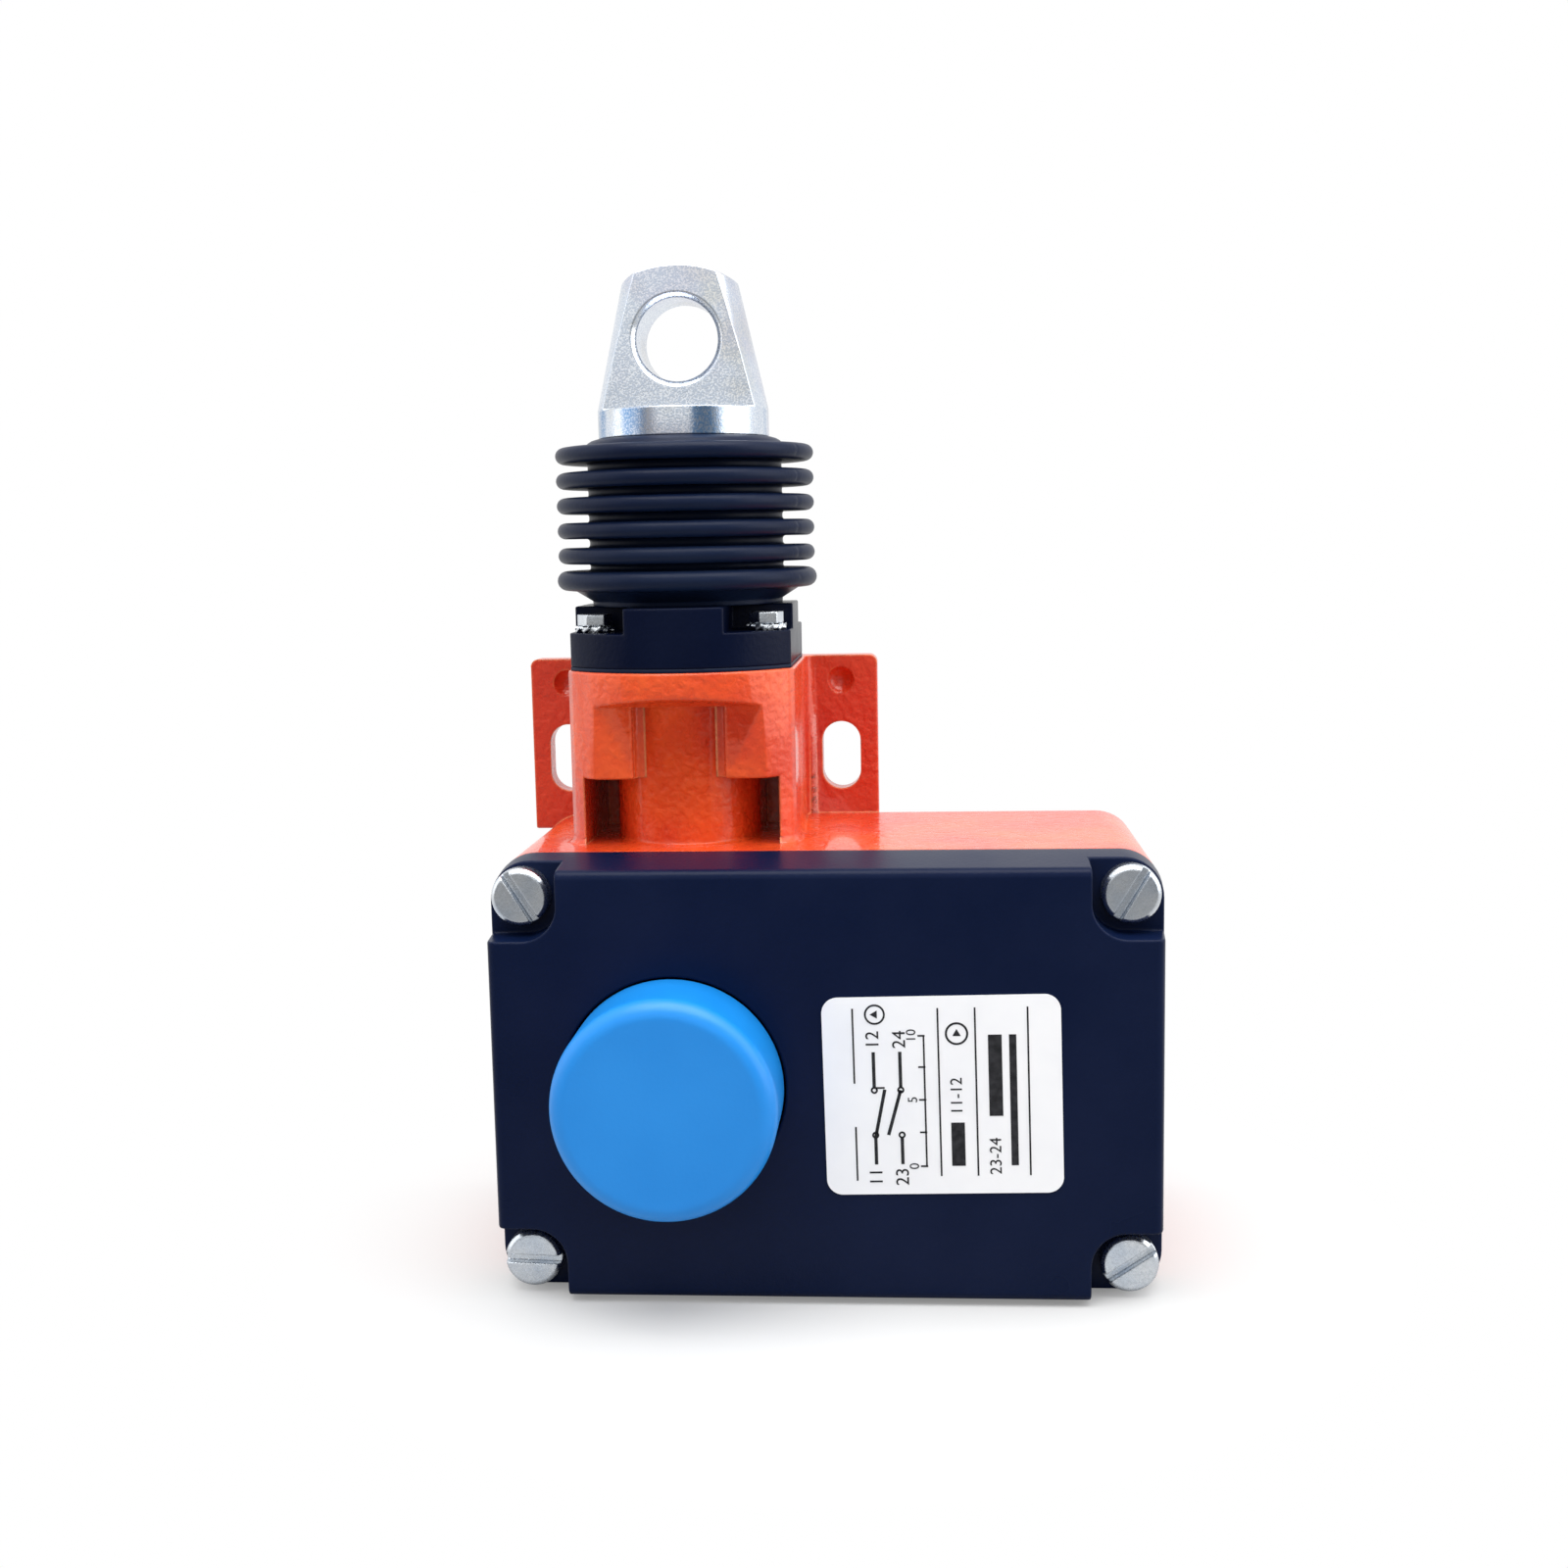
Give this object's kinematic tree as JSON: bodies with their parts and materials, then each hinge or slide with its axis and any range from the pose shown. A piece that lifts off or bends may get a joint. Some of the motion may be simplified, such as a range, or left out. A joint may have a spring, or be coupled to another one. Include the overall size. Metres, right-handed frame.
{
  "type": "rope pull switch",
  "caption": "Safety switch worked by a pull rope: sprung eye on a bellows, cast box with a side plate for mounting, plastic cover, reset button and a contact block inside.",
  "frame": {"origin": "on the mounting plane, midway between the two mounting slots, straight behind the pull axis", "axes": "+Z along the pull, away from the box; +Y out of the back, into the surface that it is mounted on; the cover and the reset button face -Y"},
  "size_m": [0.0873, 0.0575, 0.1326],
  "materials": {
    "housing": "orange-red stoved enamel with a fine orange-peel texture over a die casting",
    "cover": "blue-black moulded plastic, satin",
    "neck_flange": "black moulded plastic",
    "button": "bright blue moulded plastic, satin",
    "rubber": "matte black rubber",
    "zinc": "bluish zinc plate",
    "steel": "bright steel",
    "spring_steel": "spring wire",
    "brass": "brass with silver contact tips",
    "bronze": "sintered bronze",
    "block": "thermoset moulding",
    "ivory": "natural acetal",
    "label": "white printed film"
  },
  "bodies": {
    "base": {"housing": "housing", "cover": "cover", "cover_gasket": "rubber", "cover_screws": "zinc", "rating_label": "label", "plunger_seal": "rubber", "reset_spring": "spring_steel", "bellows": "rubber", "neck_flange": "neck_flange", "flange_gasket": "rubber", "flange_screws": "zinc", "tooth_washers": "zinc", "guide_bush": "bronze", "main_spring": "spring_steel", "latch_cheeks": "zinc", "latch_pin": "steel", "latch_spring": "spring_steel", "cheek_screws": "zinc", "contact_block": "block", "block_lid": "ivory", "block_screws": "zinc", "contact_spring": "spring_steel", "fixed_contacts": "brass", "terminal_clamps": "zinc", "terminal_screws": "zinc", "earth_screw": "brass", "earth_clamp": "zinc"},
    "pull_head": {"pull_eye": "zinc", "pull_rod": "steel", "spring_cup": "steel", "trip_cam": "ivory", "rod_clip": "spring_steel"},
    "reset": {"reset_button": "button", "reset_plunger": "steel", "plunger_clip": "spring_steel"},
    "latch": {"latch_lever": "steel"},
    "contact_carrier": {"contact_plunger": "ivory", "contact_bridges": "brass"}
  },
  "joints": [
    {"name": "pull_slide", "type": "slide", "parent": "base", "child": "pull_head", "axis": [0, 0, 1], "range_m": [0, 0.01], "stiffness_N_per_m": 5000, "springref_m": -0.004, "deforming": ["main_spring", "bellows"]},
    {"name": "reset_press", "type": "slide", "parent": "base", "child": "reset", "axis": [0, 1, 0], "range_m": [0, 0.004], "stiffness_N_per_m": 1200, "springref_m": -0.003, "deforming": ["reset_spring"]},
    {"name": "latch_swing", "type": "hinge", "parent": "base", "child": "latch", "pos_m": [0, -0.029, -0.026], "axis": [1, 0, 0], "range_deg": [0, 22], "stiffness_Nm_per_rad": 0.05, "springref_deg": -11.46, "deforming": ["latch_spring"]},
    {"name": "contact_slide", "type": "slide", "parent": "base", "child": "contact_carrier", "axis": [1, 0, 0], "range_m": [0, 0.003], "stiffness_N_per_m": 300, "springref_m": -0.002, "deforming": ["contact_spring"]}
  ],
  "couplings": [
    {"joint": "contact_slide", "follows": "pull_slide", "ratio": 0.3},
    {"joint": "latch_swing", "follows": "reset_press", "rad_per_m": 92}
  ]
}
